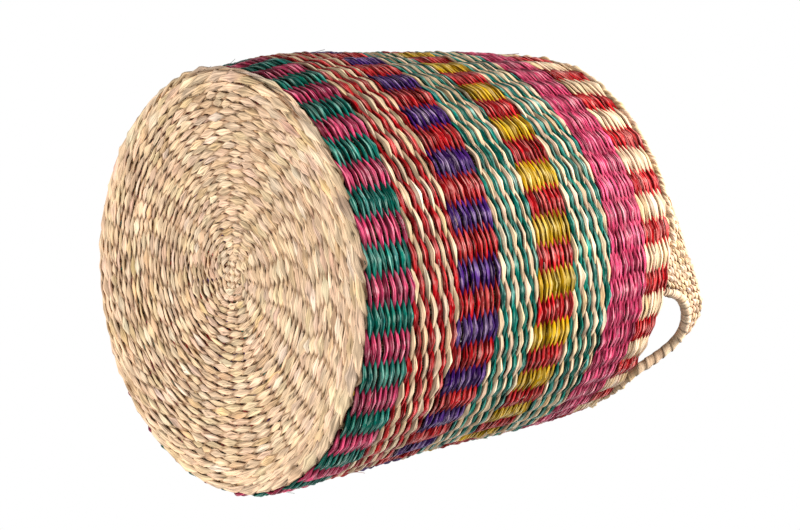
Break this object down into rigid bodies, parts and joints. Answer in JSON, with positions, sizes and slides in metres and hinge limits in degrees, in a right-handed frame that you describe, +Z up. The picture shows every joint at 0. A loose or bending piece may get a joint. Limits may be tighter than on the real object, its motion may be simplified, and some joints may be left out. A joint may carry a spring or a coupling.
{
  "type": "handled storage basket",
  "caption": "Round straight-sided basket twined from dyed grass over bent stakes, open at the top, with two handles woven into the rim.",
  "frame": {"origin": "middle of the flat ring that the basket stands on", "axes": "+Z up through the open top; +X towards handle a, -X towards handle b"},
  "size_m": [0.3612, 0.3616, 0.4515],
  "materials": {
    "natural_grass": "matt, straw coloured, slight sheen along the strands",
    "stake_grass": "matt, straw coloured",
    "teal_pink_grass": "dyed teal and pink grass in upright checks, slight sheen",
    "red_natural_grass": "dyed red and straw coloured grass in slanted stripes, slight sheen",
    "purple_red_grass": "dyed purple and red grass in upright checks, slight sheen",
    "teal_natural_grass": "dyed teal and straw coloured grass in slanted stripes, slight sheen",
    "yellow_red_grass": "dyed yellow and red grass in upright checks, slight sheen",
    "pink_grass": "dyed pink grass, slight sheen",
    "deep_red_natural_grass": "dyed red and straw coloured grass in upright checks, slight sheen"
  },
  "bodies": {
    "root": {"base_weave": "natural_grass", "base_edge_rows": "natural_grass", "wall_band_1_teal_pink": "teal_pink_grass", "wall_band_2_red_natural": "red_natural_grass", "wall_band_3_purple_red": "purple_red_grass", "wall_band_4_teal_natural": "teal_natural_grass", "wall_band_5_yellow_red": "yellow_red_grass", "wall_band_6_teal_natural": "teal_natural_grass", "wall_band_7_pink": "pink_grass", "wall_band_8_red_natural": "deep_red_natural_grass", "stake_01": "stake_grass", "stake_02": "stake_grass", "stake_03": "stake_grass", "stake_04": "stake_grass", "stake_05": "stake_grass", "stake_06": "stake_grass", "stake_07": "stake_grass", "stake_08": "stake_grass", "stake_09": "stake_grass", "stake_10": "stake_grass", "stake_11": "stake_grass", "stake_12": "stake_grass", "stake_13": "stake_grass", "stake_14": "stake_grass", "stake_15": "stake_grass", "stake_16": "stake_grass", "stake_17": "stake_grass", "stake_18": "stake_grass", "stake_19": "stake_grass", "stake_20": "stake_grass", "stake_21": "stake_grass", "stake_22": "stake_grass", "stake_23": "stake_grass", "stake_24": "stake_grass", "stake_25": "stake_grass", "stake_26": "stake_grass", "rim_border_a": "natural_grass", "handle_a_core": "natural_grass", "handle_a_binding": "natural_grass", "handle_a_strap": "natural_grass", "rim_border_b": "natural_grass", "handle_b_core": "natural_grass", "handle_b_binding": "natural_grass", "handle_b_strap": "natural_grass"}
  },
  "joints": []
}
